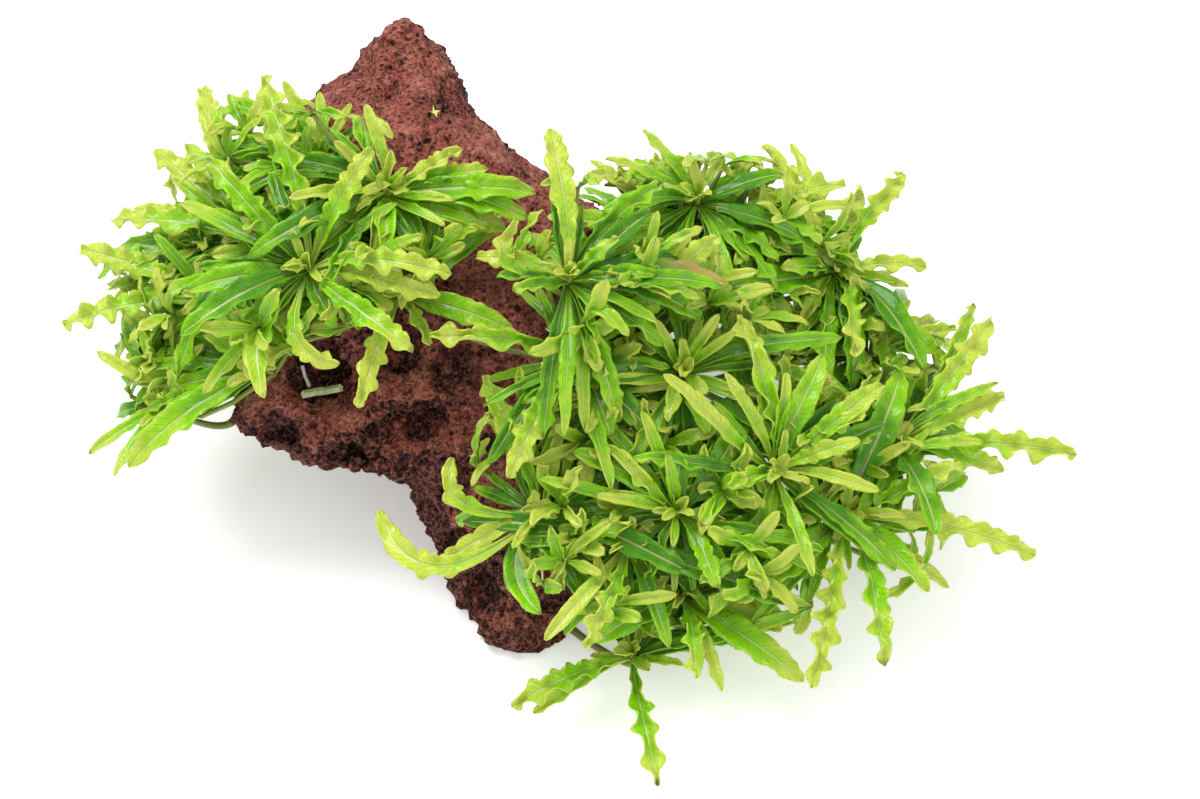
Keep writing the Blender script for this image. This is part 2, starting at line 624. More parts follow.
def lava_material(settings):
    """Red scoria: basalt foam that set full of gas bubbles. Dull, grainy, and black inside its pores."""
    material, tree = new_material("porous_lava_stone")
    place_on_stone = add(tree, "ShaderNodeTexCoord").outputs["Object"]
    hollow = add(tree, "ShaderNodeAttribute", attribute_name="hollow").outputs["Fac"]
    rough = add(tree, "ShaderNodeAttribute", attribute_name="rough").outputs["Fac"]
    # patches 9 mm wide, where iron has rusted more or less
    patches = add(tree, "ShaderNodeTexNoise", {
        "Vector": place_on_stone, "Scale": 1 / 0.009, "Detail": 4.0, "Roughness": 0.6}).outputs["Fac"]
    # crystals and broken bubble walls 1 mm wide
    grain = add(tree, "ShaderNodeTexNoise", {
        "Vector": place_on_stone, "Scale": 1 / 0.001, "Detail": 3.0, "Roughness": 0.75}).outputs["Fac"]
    # pores 1.5 mm apart that are too small for the mesh, pulled out of round
    pull = add(tree, "ShaderNodeTexNoise", {"Vector": place_on_stone, "Scale": 1 / 0.002}).outputs["Color"]
    pulled = add(tree, "ShaderNodeVectorMath", {0: pull, 1: (0.0022, 0.0022, 0.0022)}, operation="MULTIPLY").outputs[0]
    torn = add(tree, "ShaderNodeVectorMath", {0: place_on_stone, 1: pulled}, operation="ADD").outputs[0]
    bubbles = add(tree, "ShaderNodeTexVoronoi", {
        "Vector": torn, "Scale": 1 / 0.0014, "Randomness": 1.0}).outputs["Distance"]
    # the sides are fresh breaks with wide open pores, the top is worn
    widest = add(tree, "ShaderNodeMapRange", {"Value": rough, "To Min": 0.36, "To Max": 0.62}).outputs[0]
    pits = add(tree, "ShaderNodeMapRange", {
        "Value": bubbles, "From Min": 0.1, "From Max": widest, "To Min": 1.0, "To Max": 0.0}).outputs[0]
    coarse = add(tree, "ShaderNodeMapRange", {"Value": rough, "To Min": 0.7, "To Max": 1.9}).outputs[0]
    speckle = add(tree, "ShaderNodeMath", {0: grain, 1: 0.5}, operation="SUBTRACT").outputs[0]
    speckle = add(tree, "ShaderNodeMath", {0: speckle, 1: coarse}, operation="MULTIPLY").outputs[0]
    rust = add(tree, "ShaderNodeMapRange", {"Value": patches, "To Min": 0.26, "To Max": 0.76}).outputs[0]
    spread = add(tree, "ShaderNodeMath", {0: rust, 1: speckle}, operation="ADD").outputs[0]
    tone = add(tree, "ShaderNodeMapRange", {
        "Value": spread, "From Min": 0.32, "From Max": 0.68}).outputs[0]
    ramp = add(tree, "ShaderNodeValToRGB", {0: tone})
    stops = ramp.color_ramp.elements
    stops[0].position, stops[0].color = 0.0, (*settings.dark, 1)
    stops[1].position, stops[1].color = 1.0, (*settings.light, 1)
    stops.new(0.45).color = (*settings.middle, 1)
    shaded = add(tree, "ShaderNodeMath", {0: rough, 1: 0.46}, operation="MULTIPLY").outputs[0]
    face = add(tree, "ShaderNodeMix", {
        0: shaded, 6: ramp.outputs[0], 7: (*settings.dark, 1)}, data_type="RGBA").outputs[2]
    # round pores 3 mm apart and 1 mm wide, in patches
    holes = add(tree, "ShaderNodeTexVoronoi", {
        "Vector": torn, "Scale": 1 / 0.003, "Randomness": 1.0}).outputs["Distance"]
    open_pores = add(tree, "ShaderNodeMapRange", {
        "Value": holes, "From Min": 0.16, "From Max": 0.3, "To Min": 1.0, "To Max": 0.0}).outputs[0]
    where_open = add(tree, "ShaderNodeMapRange", {
        "Value": patches, "From Min": 0.44, "From Max": 0.6, "To Min": 1.0, "To Max": 0.3}).outputs[0]
    open_pores = add(tree, "ShaderNodeMath", {0: open_pores, 1: where_open}, operation="MULTIPLY").outputs[0]
    openness = add(tree, "ShaderNodeMapRange", {"Value": rough, "To Min": 0.8, "To Max": 1.0}).outputs[0]
    small = add(tree, "ShaderNodeMath", {0: pits, 1: openness}, operation="MULTIPLY").outputs[0]
    small = add(tree, "ShaderNodeMath", {0: small, 1: open_pores}, operation="MAXIMUM").outputs[0]
    # some of the grain in a hollow still catches the light
    lit = add(tree, "ShaderNodeMapRange", {
        "Value": grain, "From Min": 0.45, "From Max": 0.62, "To Min": 1.0, "To Max": 0.4}).outputs[0]
    cave = add(tree, "ShaderNodeMath", {0: hollow, 1: lit}, operation="MULTIPLY").outputs[0]
    cave = add(tree, "ShaderNodeMath", {0: cave, 1: 0.95}, operation="MULTIPLY").outputs[0]
    deep = add(tree, "ShaderNodeMath", {0: small, 1: cave}, operation="MAXIMUM").outputs[0]
    pored = add(tree, "ShaderNodeMix", {0: deep, 6: face, 7: (*settings.pore, 1)}, data_type="RGBA").outputs[2]
    relief = add(tree, "ShaderNodeMath", {0: grain, 1: small}, operation="SUBTRACT").outputs[0]
    bump = add(tree, "ShaderNodeBump", {"Strength": 1.0, "Distance": 0.0011, "Height": relief}).outputs[0]
    shader = add(tree, "ShaderNodeBsdfPrincipled", {
        "Base Color": pored, "Roughness": 0.85, "Specular IOR Level": 0.25, "Normal": bump})
    add(tree, "ShaderNodeOutputMaterial", {"Surface": shader.outputs[0]})
    return material


class DOWNOI_OT_lava_stone(bpy.types.Operator):
    """Gives the stone its grain, caves and pores"""

    bl_idname = "downoi.lava_stone"
    bl_label = "Lava Stone"

    def execute(self, context):
        """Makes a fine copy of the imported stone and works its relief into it."""
        settings = context.scene.downoi_stone
        mesh = bpy.data.meshes.new("stone_blank")
        blank = node_mesh("lava_stone")
        blank.to_mesh(mesh)
        blank.free()
        holder = bpy.data.objects.new("stone_blank", mesh)
        context.scene.collection.objects.link(holder)
        remesh = holder.modifiers.new("Remesh", "REMESH")
        remesh.mode = "VOXEL"
        remesh.voxel_size = settings.mesh_step
        graph = context.evaluated_depsgraph_get()
        bm = bmesh.new()
        bm.from_object(holder, graph)
        bpy.data.objects.remove(holder)
        bm.normal_update()
        hollow = bm.verts.layers.float.new("hollow")
        rough = bm.verts.layers.float.new("rough")
        moved = []
        hollows = hollow_places(BVHTree.FromBMesh(bm))
        for vert in bm.verts:
            height, depth = stone_relief(vert.co, vert.normal, settings)
            for middle, radius in hollows:
                share = hollow_share(vert.co, middle, radius)
                height -= settings.hollow_depth * share
                depth = max(depth, share)
            vert[hollow] = depth
            vert[rough] = 1 - smooth((vert.normal.z - 0.25) / 0.5)
            moved.append(vert.co + vert.normal * height)
        for vert, point in zip(bm.verts, moved):
            if vert.co.z > 0.4 * MM:
                vert.co = point
            vert.co.z = max(0.0, vert.co.z)
        finished = bpy.data.meshes.new("lava_stone_grain")
        bm.to_mesh(finished)
        bm.free()
        finish_piece("lava_stone_grain", finished, [lava_material(settings)], "lava_stone", "lava_stone")
        return {"FINISHED"}


# Where the leaves lie

def inside_outline(spot, outline):
    """True if a spot of the view is inside an outline, by the edges that cross its row to its right."""
    inside = False
    for (x0, y0), (x1, y1) in zip(outline, outline[1:] + outline[:1]):
        if (y0 > spot.y) != (y1 > spot.y) and spot.x < x0 + (x1 - x0) * (spot.y - y0) / (y1 - y0):
            inside = not inside
    return inside


def plant_axis(plant):
    """The direction in which a plant's stem ends."""
    return Vector((*plant.lean, 1)).normalized()


def in_front_of_stone(point, stone):
    """The point, or if the stone hides it, one on the same line of sight just in front of the stone."""
    away = point - eye()
    hit, _, _, distance = stone.ray_cast(eye(), away.normalized())
    if hit is None or distance > away.length + STONE_CLEARANCE:
        return point
    return hit - away.normalized() * STONE_CLEARANCE


def planned_tip(plant, leaf, stone):
    """Where a leaf's tip would be by the table: on the rosette's cup, above the ground, not in the stone."""
    axis = plant_axis(plant)
    cup = place(*plant.crown) + axis * (CUP_DEPTH + leaf.lift * MM)
    tip = on_plane(leaf.column, leaf.row, cup, axis)
    if tip.z < GROUND_CLEARANCE:
        tip = place(leaf.column, leaf.row, GROUND_CLEARANCE / MM)
    return in_front_of_stone(tip, stone)


def packed_tip(leaf, points):
    """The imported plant's own leaf tip at the leaf's pixel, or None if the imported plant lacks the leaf."""
    aim = Vector((leaf.column, leaf.row))
    near = min(points, key=lambda point: (pixel(point) - aim).length)
    return near if (pixel(near) - aim).length < 0.4 else None


def plan_blade(plant, kind, tip, via, stone):
    """A leaf's centreline, its facing and its size."""
    axis = plant_axis(plant)
    base = place(*plant.crown) - axis * (WHORL_SPACING * WHORLS / 2)
    length = (tip - base).length
    direction = (tip - base).normalized()
    side = direction.cross(axis).normalized()
    lift = side.cross(direction)
    if via:
        middle_height = (base.z + tip.z) / 2 / MM
        middle = in_front_of_stone(place(*via, max(middle_height, 4)), stone)
        corner = middle * 2 - (base + tip) / 2
        controls = (base, base.lerp(corner, 2 / 3), tip.lerp(corner, 2 / 3), tip)
    else:
        arch = lift * (length * kind.arch * 4 / 3)
        controls = (base, base.lerp(tip, 0.28) + arch, base.lerp(tip, 0.7) + arch, tip)
    shortness = min(1, length / FULL_LENGTH) ** 0.6
    return Blade(controls, lift, kind.width * MM / 2 * shortness, kind)


def plant_foot(name):
    """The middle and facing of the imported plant's foot: its one flat face of five corners, 1.5 mm wide."""
    bm = node_mesh(name)
    bmesh.ops.dissolve_limit(bm, angle_limit=math.radians(0.2), verts=bm.verts[:], edges=bm.edges[:])
    bm.normal_update()
    best = None
    for face in bm.faces:
        middle = face.calc_center_median()
        misfit = max(abs((vert.co - middle).length - STEM_FOOT_RADIUS) for vert in face.verts)
        if len(face.verts) == 5 and misfit < 0.02 * MM:
            best = middle.copy(), -face.normal
    bm.free()
    if best is None:
        raise RuntimeError(f"{name} has no foot")
    return best


def stem_controls(name, plant):
    """The stem's route from the stone to below its leaves, and on to its top."""
    axis = plant_axis(plant)
    foot, outward = plant_foot(name)
    top = place(*plant.crown) - axis * (WHORL_SPACING * WHORLS)
    reach = (top - foot).length
    return (foot, foot + outward * reach * 0.3, top - axis * reach * 0.4, top)


# Leaves

def width_share(kind, t):
    """The leaf's width along its length: a narrow base, widest past the middle, a blunt or pointed tip."""
    share = 0.16 + 0.84 * smooth(t / kind.widest)
    if t > kind.widest:
        past = (t - kind.widest) / (1 - kind.widest)
        share *= math.sqrt(max(0.0, 1 - past ** kind.bluntness))
    return max(share, 0.05)


def margin_wave(count, t, side, seed):
    """How far a margin is bent up or down at a place along the leaf, and how far its lobes stand out."""
    drift = noise.noise(Vector((t * 3.1, seed * 1.3, side * 2.7)))
    phase = math.pi * (count * t + 1.5 * drift) + seed * 2.1 + side * 1.3
    strength = smooth((t - 0.08) / 0.45) * (0.9 + 0.8 * noise.noise(Vector((t * 5 + 3, seed * 0.7, side * 1.9))))
    lobe = abs(math.sin(phase)) ** 0.5
    return math.sin(phase) * strength, (lobe - 0.75) * strength


def blade_frames(blade, rows, chance):
    """The place, axes, half width and margins of each row of a leaf's grid."""
    kind = blade.kind
    length = (blade.controls[3] - blade.controls[0]).length
    twist = math.radians(kind.twist) * chance.uniform(-1, 1)
    sway = chance.uniform(-0.06, 0.06) * length
    curl = chance.uniform(-0.07, 0.07) * length
    count = length / (kind.lobe * MM) * chance.uniform(0.85, 1.3)
    seed = chance.uniform(0, 50)
    frames = []
    for row in range(rows + 1):
        t = 0.03 + 0.97 * row / rows
        direction = curve_direction(blade.controls, t)
        side = direction.cross(blade.facing).normalized()
        up = side.cross(direction)
        centre = curve_point(blade.controls, t) + side * (sway * math.sin(math.pi * t) * (1 - t) * 1.5)
        centre += up * (curl * smooth((t - 0.6) / 0.8))
        turn = twist * (t - 0.2)
        turned = side * math.cos(turn) + up * math.sin(turn)
        waves = {s: margin_wave(count, t, s, seed) for s in (-1, 1)}
        frames.append((t, centre, turned, turned.cross(direction), blade.half_width * width_share(kind, t), waves))
    return frames


def make_leaf(bm, blade, rows, columns, seed, age, thickness):
    """A thin leaf: a grid laid along the centreline, folded at the midrib, waved at its margins."""
    chance = random.Random(seed)
    kind = blade.kind
    layers = {name: bm.verts.layers.float[name] for name in ("along", "across", "age", "tone", "under")}
    tone = chance.random()
    fold = chance.uniform(0.1, 0.35) + kind.wave * chance.uniform(0.1, 0.6)
    crisp = kind.wave * chance.uniform(0.8, 1.45)
    frames = blade_frames(blade, rows, chance)
    grid = bmesh.ops.create_grid(bm, x_segments=columns, y_segments=rows, size=1)["verts"]
    for vert in grid:
        across, along = vert.co.x, (vert.co.y + 1) / 2
        t, centre, side, up, half, waves = frames[round(along * rows)]
        hand = 1 if across > 0 else -1
        wave, pull = waves[hand]
        edge = abs(across) ** 2
        lean = fold * (0.6 + 0.4 * abs(across))
        outward = side * (hand * math.cos(lean)) + up * math.sin(lean)
        normal = up * math.cos(lean) - side * (hand * math.sin(lean))
        reach = abs(across) * half * (1 + 0.5 * crisp * pull * edge)
        rise = wave * crisp * edge * min(half * 1.4, blade.half_width) * 0.62
        rise -= 0.12 * MM * (1 - min(1, abs(across) * 4))
        vert.co = centre + outward * reach + normal * rise
        vert[layers["along"]] = t
        vert[layers["across"]] = across
        vert[layers["age"]] = age
        vert[layers["tone"]] = tone
    faces = list({face for vert in grid for face in vert.link_faces})
    for face in faces:
        face.normal_update()
    upper = set(grid)
    made = bmesh.ops.solidify(bm, geom=faces, thickness=thickness)["geom"]
    for item in made:
        if isinstance(item, bmesh.types.BMVert) and item not in upper:
            item[layers["under"]] = 1


def tube(bm, path, radii, sides, slot):
    """A closed round stem or root along a path, whose faces take a material slot."""
    before = set(bm.faces)
    ways = [(after - point).normalized() for point, after in zip(path, path[1:])]
    ways.append(ways[-1])
    made = bmesh.ops.create_cone(bm, cap_ends=True, segments=sides, radius1=1, radius2=1, depth=2)["verts"]
    turn = Vector((0, 0, 1)).rotation_difference(ways[0])
    upper = [vert for vert in made if vert.co.z > 0]
    for vert in made:
        level = int(vert in upper)
        vert.co = path[level] + (turn @ Vector((vert.co.x, vert.co.y, 0))) * radii[level]
    end = next(face for face in upper[0].link_faces if all(vert in upper for vert in face.verts))
    for step in range(2, len(path)):
        end = bmesh.ops.extrude_discrete_faces(bm, faces=[end])["faces"][0]
        bend = ways[step - 1].rotation_difference(ways[step])
        for vert in end.verts:
            arm = bend @ (vert.co - path[step - 1])
            vert.co = path[step] + arm * (radii[step] / radii[step - 1])
    for face in bm.faces:
        if face not in before:
            face.material_index = slot


def leaf_material(settings):
    """Leaf of a plant grown under water: a thin, soft, waxless blade. Light shines through it, it is wet, and
    its pale midrib and side veins are sunk into it."""
    material, tree = new_material("wet_downoi_leaf")
    along = add(tree, "ShaderNodeAttribute", attribute_name="along").outputs["Fac"]
    across = add(tree, "ShaderNodeAttribute", attribute_name="across").outputs["Fac"]
    age = add(tree, "ShaderNodeAttribute", attribute_name="age").outputs["Fac"]
    tone = add(tree, "ShaderNodeAttribute", attribute_name="tone").outputs["Fac"]
    under = add(tree, "ShaderNodeAttribute", attribute_name="under").outputs["Fac"]
    where = add(tree, "ShaderNodeTexCoord").outputs["Object"]
    out = add(tree, "ShaderNodeMath", {0: across}, operation="ABSOLUTE").outputs[0]
    # blotches 6 mm wide, where the blade is older or thicker
    blotches = add(tree, "ShaderNodeTexNoise", {
        "Vector": where, "Scale": 1 / 0.006, "Detail": 2.0}).outputs["Fac"]
    uneven = add(tree, "ShaderNodeMapRange", {
        "Value": blotches, "From Min": 0.25, "From Max": 0.75, "To Min": -0.18, "To Max": 0.18}).outputs[0]
    own = add(tree, "ShaderNodeMapRange", {"Value": tone, "To Min": -0.2, "To Max": 0.2}).outputs[0]
    aged = add(tree, "ShaderNodeMath", {0: age, 1: uneven}, operation="ADD").outputs[0]
    aged = add(tree, "ShaderNodeMath", {0: aged, 1: own}, operation="ADD").outputs[0]
    # tips and margins are the youngest parts
    tip = add(tree, "ShaderNodeMapRange", {
        "Value": along, "From Min": 0.3, "From Max": 1.0, "To Min": 0.0, "To Max": 0.38},
        interpolation_type="SMOOTHSTEP").outputs[0]
    margin = add(tree, "ShaderNodeMapRange", {
        "Value": out, "From Min": 0.5, "From Max": 1.0, "To Min": 0.0, "To Max": 0.16}).outputs[0]
    aged = add(tree, "ShaderNodeMath", {0: aged, 1: tip}, operation="SUBTRACT").outputs[0]
    aged = add(tree, "ShaderNodeMath", {0: aged, 1: margin}, operation="SUBTRACT").outputs[0]
    ramp = add(tree, "ShaderNodeValToRGB", {0: aged})
    stops = ramp.color_ramp.elements
    stops[0].position, stops[0].color = 0.08, (*settings.young, 1)
    stops[1].position, stops[1].color = 0.85, (*settings.deep, 1)
    stops.new(0.42).color = (*settings.bright, 1)
    # side veins leave the midrib every 2 mm or so and run forward
    ahead = add(tree, "ShaderNodeMath", {0: along, 1: 20.0}, operation="MULTIPLY").outputs[0]
    slant = add(tree, "ShaderNodeMath", {0: out, 1: 1.6}, operation="MULTIPLY").outputs[0]
    phase = add(tree, "ShaderNodeMath", {0: ahead, 1: slant}, operation="SUBTRACT").outputs[0]
    turn = add(tree, "ShaderNodeMath", {0: phase, 1: math.tau}, operation="MULTIPLY").outputs[0]
    wave = add(tree, "ShaderNodeMath", {0: turn}, operation="SINE").outputs[0]
    veins = add(tree, "ShaderNodeMapRange", {
        "Value": wave, "From Min": 0.72, "From Max": 1.0, "To Min": 0.0, "To Max": 1.0},
        interpolation_type="SMOOTHSTEP").outputs[0]
    faint = add(tree, "ShaderNodeMath", {0: veins, 1: 0.06}, operation="MULTIPLY").outputs[0]
    blade = add(tree, "ShaderNodeMix", {
        0: faint, 6: ramp.outputs[0], 7: (*settings.midrib, 1)}, data_type="RGBA").outputs[2]
    # the midrib is nearly all of the narrow base, and olive brown there on an old leaf
    width = add(tree, "ShaderNodeMapRange", {
        "Value": along, "From Min": 0.0, "From Max": 0.4, "To Min": 0.8, "To Max": 0.14},
        interpolation_type="SMOOTHSTEP").outputs[0]
    offset = add(tree, "ShaderNodeMath", {0: out, 1: width}, operation="DIVIDE").outputs[0]
    rib = add(tree, "ShaderNodeMapRange", {
        "Value": offset, "From Min": 0.45, "From Max": 1.0, "To Min": 0.58, "To Max": 0.0},
        interpolation_type="SMOOTHSTEP").outputs[0]
    near_base = add(tree, "ShaderNodeMapRange", {
        "Value": along, "From Min": 0.2, "From Max": 0.75, "To Min": 1.0, "To Max": 0.0}).outputs[0]
    old = add(tree, "ShaderNodeMapRange", {
        "Value": age, "From Min": 0.35, "From Max": 0.6, "To Min": 0.0, "To Max": 1.0}).outputs[0]
    brown = add(tree, "ShaderNodeMath", {0: near_base, 1: old}, operation="MULTIPLY").outputs[0]
    rib_colour = add(tree, "ShaderNodeMix", {
        0: brown, 6: (*settings.midrib, 1), 7: (*settings.old_midrib, 1)}, data_type="RGBA").outputs[2]
    ribbed = add(tree, "ShaderNodeMix", {0: rib, 6: blade, 7: rib_colour}, data_type="RGBA").outputs[2]
    pale = add(tree, "ShaderNodeMath", {0: under, 1: 0.22}, operation="MULTIPLY").outputs[0]
    coloured = add(tree, "ShaderNodeMix", {
        0: pale, 6: ribbed, 7: (*settings.midrib, 1)}, data_type="RGBA").outputs[2]
    # the tips of some leaves have gone brown
    dying = add(tree, "ShaderNodeMapRange", {
        "Value": tone, "From Min": 0.78, "From Max": 0.82, "To Min": 1.0, "To Max": 0.95}).outputs[0]
    withered = add(tree, "ShaderNodeMath", {0: along, 1: dying}, operation="SUBTRACT").outputs[0]
    dead = add(tree, "ShaderNodeMapRange", {
        "Value": withered, "From Min": 0.0, "From Max": 0.03, "To Min": 0.0, "To Max": 0.7}).outputs[0]
    coloured = add(tree, "ShaderNodeMix", {
        0: dead, 6: coloured, 7: (*settings.old_midrib, 1)}, data_type="RGBA").outputs[2]
    # the blade is blistered 2 mm wide between the veins
    skin = add(tree, "ShaderNodeTexNoise", {"Vector": where, "Scale": 1 / 0.0018, "Detail": 2.0}).outputs["Fac"]
    grooves = add(tree, "ShaderNodeMath", {0: veins, 1: 0.2}, operation="MULTIPLY").outputs[0]
    sunk = add(tree, "ShaderNodeMath", {0: grooves, 1: rib}, operation="MAXIMUM").outputs[0]
    relief = add(tree, "ShaderNodeMath", {0: skin, 1: sunk}, operation="SUBTRACT").outputs[0]
    bump = add(tree, "ShaderNodeBump", {"Strength": 0.8, "Distance": 0.0009, "Height": relief}).outputs[0]
    gloss = add(tree, "ShaderNodeMapRange", {
        "Value": blotches, "From Min": 0.3, "From Max": 0.7, "To Min": 0.3, "To Max": 0.5}).outputs[0]
    shader = add(tree, "ShaderNodeBsdfPrincipled", {
        "Base Color": coloured, "Roughness": gloss, "Normal": bump, "IOR": 1.4,
        "Specular IOR Level": 0.2, "Subsurface Weight": 0.3, "Subsurface Radius": (0.8, 1.0, 0.1),
        "Subsurface Scale": 0.0012, "Coat Weight": 0.35, "Coat Roughness": 0.05})
    add(tree, "ShaderNodeOutputMaterial", {"Surface": shader.outputs[0]})
    return material


def stem_material(settings):
    """Soft water-plant stem: green where it is young, brown and corky towards its foot."""
    material, tree = new_material("downoi_stem")
    along = add(tree, "ShaderNodeAttribute", attribute_name="along").outputs["Fac"]
    where = add(tree, "ShaderNodeTexCoord").outputs["Object"]
    streaks = add(tree, "ShaderNodeTexNoise", {
        "Vector": where, "Scale": 1 / 0.002, "Detail": 2.0}).outputs["Fac"]
    young = add(tree, "ShaderNodeMath", {0: along, 1: streaks}, operation="ADD").outputs[0]
    share = add(tree, "ShaderNodeMapRange", {
        "Value": young, "From Min": 0.7, "From Max": 1.3}, interpolation_type="SMOOTHSTEP").outputs[0]
    skin = add(tree, "ShaderNodeMix", {
        0: share, 6: (*settings.old_stem, 1), 7: (*settings.stem, 1)}, data_type="RGBA").outputs[2]
    bump = add(tree, "ShaderNodeBump", {"Strength": 0.4, "Distance": 0.0003, "Height": streaks}).outputs[0]
    shader = add(tree, "ShaderNodeBsdfPrincipled", {
        "Base Color": skin, "Roughness": 0.42, "Normal": bump, "Subsurface Weight": 0.2,
        "Subsurface Radius": (1.0, 0.8, 0.3), "Subsurface Scale": 0.001})
    add(tree, "ShaderNodeOutputMaterial", {"Surface": shader.outputs[0]})
    return material


def root_material(settings):
    """Fresh root: white, smooth and a little see-through."""
    material, tree = new_material("fresh_root")
    where = add(tree, "ShaderNodeTexCoord").outputs["Object"]
    hairs = add(tree, "ShaderNodeTexNoise", {
        "Vector": where, "Scale": 1 / 0.0015, "Detail": 2.0}).outputs["Fac"]
    bump = add(tree, "ShaderNodeBump", {"Strength": 0.3, "Distance": 0.0002, "Height": hairs}).outputs[0]
    shader = add(tree, "ShaderNodeBsdfPrincipled", {
        "Base Color": (*settings.root, 1), "Roughness": 0.4, "Normal": bump, "Subsurface Weight": 0.4,
        "Subsurface Radius": (1.0, 0.9, 0.7), "Subsurface Scale": 0.001})
    add(tree, "ShaderNodeOutputMaterial", {"Surface": shader.outputs[0]})
    return material


def cut_stem_material(settings):
    """Pale cut stem, drying: dull, with fine lengthwise streaks."""
    material, tree = new_material("cut_downoi_stem")
    where = add(tree, "ShaderNodeTexCoord").outputs["Object"]
    streaks = add(tree, "ShaderNodeTexNoise", {"Vector": where, "Scale": 1 / 0.0012, "Detail": 3.0}).outputs["Fac"]
    skin = add(tree, "ShaderNodeMix", {
        0: streaks, 6: (*settings.stem, 1), 7: (*settings.cut_stem, 1)}, data_type="RGBA").outputs[2]
    shader = add(tree, "ShaderNodeBsdfPrincipled", {"Base Color": skin, "Roughness": 0.5})
    add(tree, "ShaderNodeOutputMaterial", {"Surface": shader.outputs[0]})
    return material


def withered_material(settings):
    """A leaf that has died from the tip: green, then tan and thin, with its veins gone reddish brown."""
    material, tree = new_material("withered_downoi_leaf")
    across = add(tree, "ShaderNodeAttribute", attribute_name="across").outputs["Fac"]
    along = add(tree, "ShaderNodeAttribute", attribute_name="along").outputs["Fac"]
    where = add(tree, "ShaderNodeTexCoord").outputs["Object"]
    out = add(tree, "ShaderNodeMath", {0: across}, operation="ABSOLUTE").outputs[0]
    # stains 3 mm wide
    stains = add(tree, "ShaderNodeTexNoise", {"Vector": where, "Scale": 1 / 0.003, "Detail": 3.0}).outputs["Fac"]
    middle = add(tree, "ShaderNodeMapRange", {
        "Value": out, "From Min": 0.1, "From Max": 0.35, "To Min": 0.5, "To Max": 0.0}).outputs[0]
    rim = add(tree, "ShaderNodeMapRange", {
        "Value": out, "From Min": 0.75, "From Max": 1.0, "To Min": 0.0, "To Max": 0.5}).outputs[0]
    brown = add(tree, "ShaderNodeMath", {0: middle, 1: rim}, operation="MAXIMUM").outputs[0]
    share = add(tree, "ShaderNodeMath", {0: brown, 1: stains}, operation="MULTIPLY").outputs[0]
    dead = add(tree, "ShaderNodeMix", {
        0: share, 6: (*settings.withered, 1), 7: (*settings.withered_vein, 1)}, data_type="RGBA").outputs[2]
    dying = add(tree, "ShaderNodeMapRange", {
        "Value": along, "From Min": 0.5, "From Max": 0.78}, interpolation_type="SMOOTHSTEP").outputs[0]
    skin = add(tree, "ShaderNodeMix", {0: dying, 6: (*settings.deep, 1), 7: dead}, data_type="RGBA").outputs[2]
    shader = add(tree, "ShaderNodeBsdfPrincipled", {
        "Base Color": skin, "Roughness": 0.5, "Subsurface Weight": 0.2, "Subsurface Radius": (1.0, 0.7, 0.3),
        "Subsurface Scale": 0.001})
    add(tree, "ShaderNodeOutputMaterial", {"Surface": shader.outputs[0]})
    return material


def plant_materials(settings):
    """The leaf, stem, root and dead leaf materials, made once."""
    wanted = (
        ("wet_downoi_leaf", leaf_material), ("downoi_stem", stem_material), ("fresh_root", root_material),
        ("withered_downoi_leaf", withered_material))
    return [bpy.data.materials.get(name) or make(settings) for name, make in wanted]


class Cushion:
    """What all the plants of one run share: the stone, the settings and where the shown leaves are."""

    def __init__(self, settings):
        self.settings = settings
        blank = node_mesh("lava_stone")
        self.stone = BVHTree.FromBMesh(blank)
        blank.free()
        self.low, self.high = (Vector(corner) for corner in cad_box)
        self.blades = {name: self.shown_blades(name, plant) for name, plant in PLANTS.items()}

    def shown_blades(self, name, plant):
        """The plant's leaves in the table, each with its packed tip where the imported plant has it."""
        points = [vert.co.copy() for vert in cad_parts[name].data.vertices]
        blades = []
        for leaf in plant.leaves:
            tip = packed_tip(leaf, points) or planned_tip(plant, leaf, self.stone)
            blades.append(plan_blade(plant, leaf.kind, tip, leaf.via, self.stone))
        return blades

    def suits(self, blade, outline):
        """True if a leaf that the table lacks stays in its cushion's outline, in the box and off the stone."""
        for t in (0.35, 0.6, 0.8, 1.0):
            point = curve_point(blade.controls, t)
            if any(p < low or p > high for p, low, high in zip(point, self.low, self.high)):
                return False
            near, normal, _, _ = self.stone.find_nearest(point)
            if (point - near).dot(normal) < 0.8 * MM or point.z < GROUND_CLEARANCE:
                return False
            if t > 0.5 and not inside_outline(pixel(point), outline):
                return False
        return True


def spread(axis, angle):
    """A direction at right angles to an axis."""
    across = axis.orthogonal().normalized()
    return across * math.cos(angle) + axis.cross(across) * math.sin(angle)


def outline_of(name):
    """The outline of the cushion that a plant belongs to."""
    return LEFT_OUTLINE if name.startswith("plant_left") else RIGHT_OUTLINE


def filler_blades(cushion, name, plant, number):
    """Lower leaves all round a plant, which close the gaps between the ones that show."""
    chance = random.Random(100 + number)
    axis = plant_axis(plant)
    crown = place(*plant.crown)
    found = []
    for attempt in range(cushion.settings.filler_leaves * 6):
        angle = attempt * GOLDEN_ANGLE + chance.uniform(-0.3, 0.3)
        tip = crown + spread(axis, angle) * (chance.uniform(14, 42) * MM) + axis * (chance.uniform(-16, 3) * MM)
        kind = chance.choice((RUFFLED, RUFFLED, BROAD, YOUNG, NARROW))
        blade = plan_blade(plant, kind, tip, None, cushion.stone)
        if cushion.suits(blade, outline_of(name)):
            found.append(blade._replace(half_width=blade.half_width * chance.uniform(0.6, 0.95)))
        if len(found) == cushion.settings.filler_leaves:
            break
    return found


